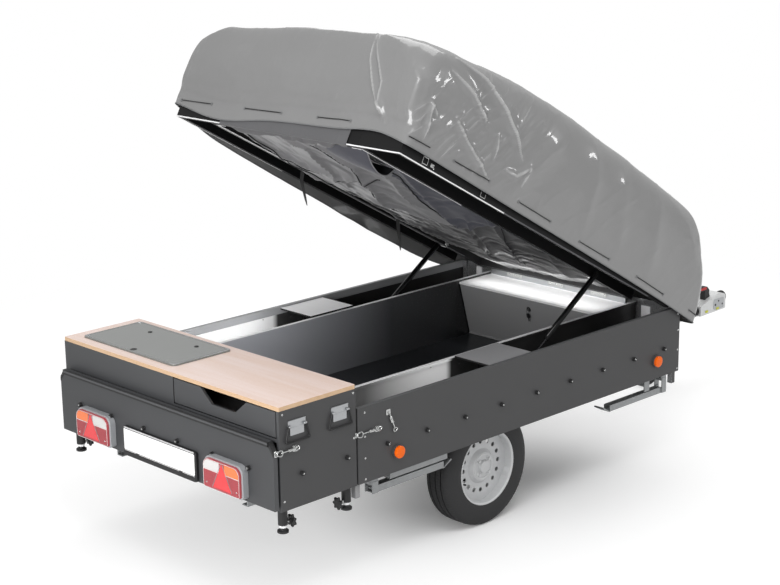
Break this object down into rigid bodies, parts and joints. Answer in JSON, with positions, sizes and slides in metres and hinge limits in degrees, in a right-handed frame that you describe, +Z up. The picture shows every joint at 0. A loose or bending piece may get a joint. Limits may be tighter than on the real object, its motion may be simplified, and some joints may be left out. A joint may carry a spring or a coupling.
{
  "type": "folding camper trailer",
  "caption": "Low box trailer on two wheels with a rear kitchen cabinet, drop tailgate and a hinged bed lid under a soft cover, raised on gas struts.",
  "frame": {"origin": "middle of the object's box, on the ground under the tyres", "axes": "+X forward to the coupling, +Y to the trailer's left, +Z up"},
  "size_m": [4.3288, 1.6, 2.3751],
  "materials": {
    "body_panel": "dark grey fine-textured panel, satin",
    "kitchen_panel": "dark grey fine-textured panel, satin",
    "well_board": "dark smooth board, semi-gloss",
    "white_sheet": "bright sheet, satin",
    "galvanised": "hot-dip galvanised",
    "axle_steel": "black paint",
    "jockey_rubber": "matt",
    "tyre": "matt",
    "wheel_steel": "silver paint",
    "beech_board": "beech decor, satin",
    "tray_steel": "brushed",
    "hob_glass": "smoked toughened glass, glossy",
    "lamp_lens": "glossy lens",
    "plate_white": "blank plate, satin",
    "lid_frame": "black, satin",
    "hinge_aluminium": "mill finish",
    "tent_cloth": "woven tent cloth, matt",
    "cover_cloth": "coated tarpaulin, glossy",
    "strut_black": "black, gloss",
    "strut_rod": "hardened rod, bright",
    "leg_black": "black, satin"
  },
  "bodies": {
    "chassis": {"side_panel_left": "body_panel", "side_panel_right": "body_panel", "rear_wall": "body_panel", "front_wall": "body_panel", "floor": "well_board", "partition_left": "well_board", "partition_right": "well_board", "front_box_top": "white_sheet", "wheel_box_left": "body_panel", "wheel_box_right": "body_panel", "chassis_rail_left": "galvanised", "chassis_rail_right": "galvanised", "cross_member_rear": "galvanised", "cross_member_middle": "galvanised", "axle": "axle_steel", "drawbar_left": "galvanised", "drawbar_right": "galvanised", "coupling_head": "galvanised", "jockey_tube": "galvanised", "kitchen_carcass": "kitchen_panel", "worktop": "beech_board", "hob_tray": "tray_steel", "hinge_rail": "hinge_aluminium", "sill_rear_left": "galvanised", "sill_rear_right": "galvanised", "sill_front_left": "galvanised", "sill_front_right": "galvanised"},
    "lid": {"lid_side_left": "lid_frame", "lid_side_right": "lid_frame", "lid_front_beam": "lid_frame", "lid_rear_beam": "lid_frame", "tent_pack": "tent_cloth", "cover": "cover_cloth"},
    "strut_tube_left": {"strut_tube_left": "strut_black"},
    "strut_rod_left": {"strut_rod_left": "strut_rod"},
    "strut_tube_right": {"strut_tube_right": "strut_black"},
    "strut_rod_right": {"strut_rod_right": "strut_rod"},
    "wheel_left": {"tyre_left": "tyre", "rim_left": "wheel_steel"},
    "wheel_right": {"tyre_right": "tyre", "rim_right": "wheel_steel"},
    "jockey_leg": {"jockey_leg": "galvanised"},
    "jockey_fork": {"jockey_fork": "galvanised"},
    "jockey_wheel": {"jockey_wheel": "jockey_rubber"},
    "tailgate": {"tailgate": "kitchen_panel", "rear_lamp_left": "lamp_lens", "rear_lamp_right": "lamp_lens", "number_plate": "plate_white"},
    "drawer": {"drawer": "kitchen_panel"},
    "hob_lid": {"hob_lid": "hob_glass"},
    "box_door": {"bulkhead": "body_panel"},
    "leg_rear_left": {"leg_rear_left": "leg_black"},
    "leg_rear_right": {"leg_rear_right": "leg_black"},
    "leg_front_left": {"leg_front_left": "leg_black"},
    "leg_front_right": {"leg_front_right": "leg_black"},
    "steady_rear_left": {"steady_rear_left": "galvanised"},
    "steady_rear_right": {"steady_rear_right": "galvanised"},
    "steady_front_left": {"steady_front_left": "galvanised"},
    "steady_front_right": {"steady_front_right": "galvanised"}
  },
  "joints": [
    {"name": "lid_hinge", "type": "hinge", "parent": "chassis", "child": "lid", "pos_m": [0.5884, 0, 0.86], "axis": [0, 1, 0], "range_deg": [-29.03, 0]},
    {"name": "strut_tube_left_pivot", "type": "hinge", "parent": "lid", "child": "strut_tube_left", "pos_m": [0.25739, 0.555, 1.03902], "axis": [0, 1, 0], "range_deg": [-0.1, 39.94]},
    {"name": "strut_rod_left_slide", "type": "slide", "parent": "strut_tube_left", "child": "strut_rod_left", "axis": [-0.8301, 0, -0.5576], "range_m": [-0.1282, 0.0005]},
    {"name": "strut_tube_right_pivot", "type": "hinge", "parent": "lid", "child": "strut_tube_right", "pos_m": [0.25739, -0.555, 1.03902], "axis": [0, 1, 0], "range_deg": [-0.1, 39.94]},
    {"name": "strut_rod_right_slide", "type": "slide", "parent": "strut_tube_right", "child": "strut_rod_right", "axis": [-0.8301, 0, -0.5576], "range_m": [-0.1282, 0.0005]},
    {"name": "wheel_left_spin", "type": "hinge", "parent": "chassis", "child": "wheel_left", "pos_m": [-0.7136, 0.6225, 0.288], "axis": [0, 1, 0], "continuous": true},
    {"name": "wheel_right_spin", "type": "hinge", "parent": "chassis", "child": "wheel_right", "pos_m": [-0.7136, -0.6225, 0.288], "axis": [0, 1, 0], "continuous": true},
    {"name": "jockey_slide", "type": "slide", "parent": "chassis", "child": "jockey_leg", "axis": [0, 0, 1], "range_m": [0, 0.15]},
    {"name": "jockey_swivel", "type": "hinge", "parent": "jockey_leg", "child": "jockey_fork", "pos_m": [1.6004, 0.1, 0.212], "axis": [0, 0, 1], "continuous": true},
    {"name": "jockey_wheel_spin", "type": "hinge", "parent": "jockey_fork", "child": "jockey_wheel", "pos_m": [1.5704, 0.1, 0.1], "axis": [0, 1, 0], "continuous": true},
    {"name": "tailgate_hinge", "type": "hinge", "parent": "chassis", "child": "tailgate", "pos_m": [-2.0861, 0, 0.489], "axis": [0, -1, 0], "range_deg": [0, 90]},
    {"name": "drawer_slide", "type": "slide", "parent": "chassis", "child": "drawer", "axis": [-1, 0, 0], "range_m": [0, 0.3]},
    {"name": "hob_lid_hinge", "type": "hinge", "parent": "chassis", "child": "hob_lid", "pos_m": [-1.6846, 0, 0.9418], "axis": [0, 1, 0], "range_deg": [0, 85]},
    {"name": "box_door_hinge", "type": "hinge", "parent": "chassis", "child": "box_door", "pos_m": [0.4204, 0, 0.4923], "axis": [0, -1, 0], "range_deg": [0, 66]},
    {"name": "leg_rear_left_slide", "type": "slide", "parent": "chassis", "child": "leg_rear_left", "axis": [0, 0, -1], "range_m": [0, 0.365]},
    {"name": "leg_rear_right_slide", "type": "slide", "parent": "chassis", "child": "leg_rear_right", "axis": [0, 0, -1], "range_m": [0, 0.365]},
    {"name": "leg_front_left_slide", "type": "slide", "parent": "chassis", "child": "leg_front_left", "axis": [0, 0, -1], "range_m": [0, 0.365]},
    {"name": "leg_front_right_slide", "type": "slide", "parent": "chassis", "child": "leg_front_right", "axis": [0, 0, -1], "range_m": [0, 0.365]},
    {"name": "steady_rear_left_pivot", "type": "hinge", "parent": "chassis", "child": "steady_rear_left", "pos_m": [-1.5236, 0.74, 0.4237], "axis": [0, 1, 0], "range_deg": [0, 57]},
    {"name": "steady_rear_right_pivot", "type": "hinge", "parent": "chassis", "child": "steady_rear_right", "pos_m": [-1.5236, -0.74, 0.4237], "axis": [0, 1, 0], "range_deg": [0, 57]},
    {"name": "steady_front_left_pivot", "type": "hinge", "parent": "chassis", "child": "steady_front_left", "pos_m": [0.5684, 0.74, 0.3977], "axis": [0, -1, 0], "range_deg": [0, 52]},
    {"name": "steady_front_right_pivot", "type": "hinge", "parent": "chassis", "child": "steady_front_right", "pos_m": [0.5684, -0.74, 0.3977], "axis": [0, -1, 0], "range_deg": [0, 52]}
  ],
  "couplings": [
    {"joint": "strut_tube_left_pivot", "follows": "lid_hinge", "ratio": -1.3724},
    {"joint": "strut_rod_left_slide", "follows": "lid_hinge", "m_per_rad": 0.25205},
    {"joint": "strut_tube_right_pivot", "follows": "lid_hinge", "ratio": -1.3724},
    {"joint": "strut_rod_right_slide", "follows": "lid_hinge", "m_per_rad": 0.25205}
  ]
}
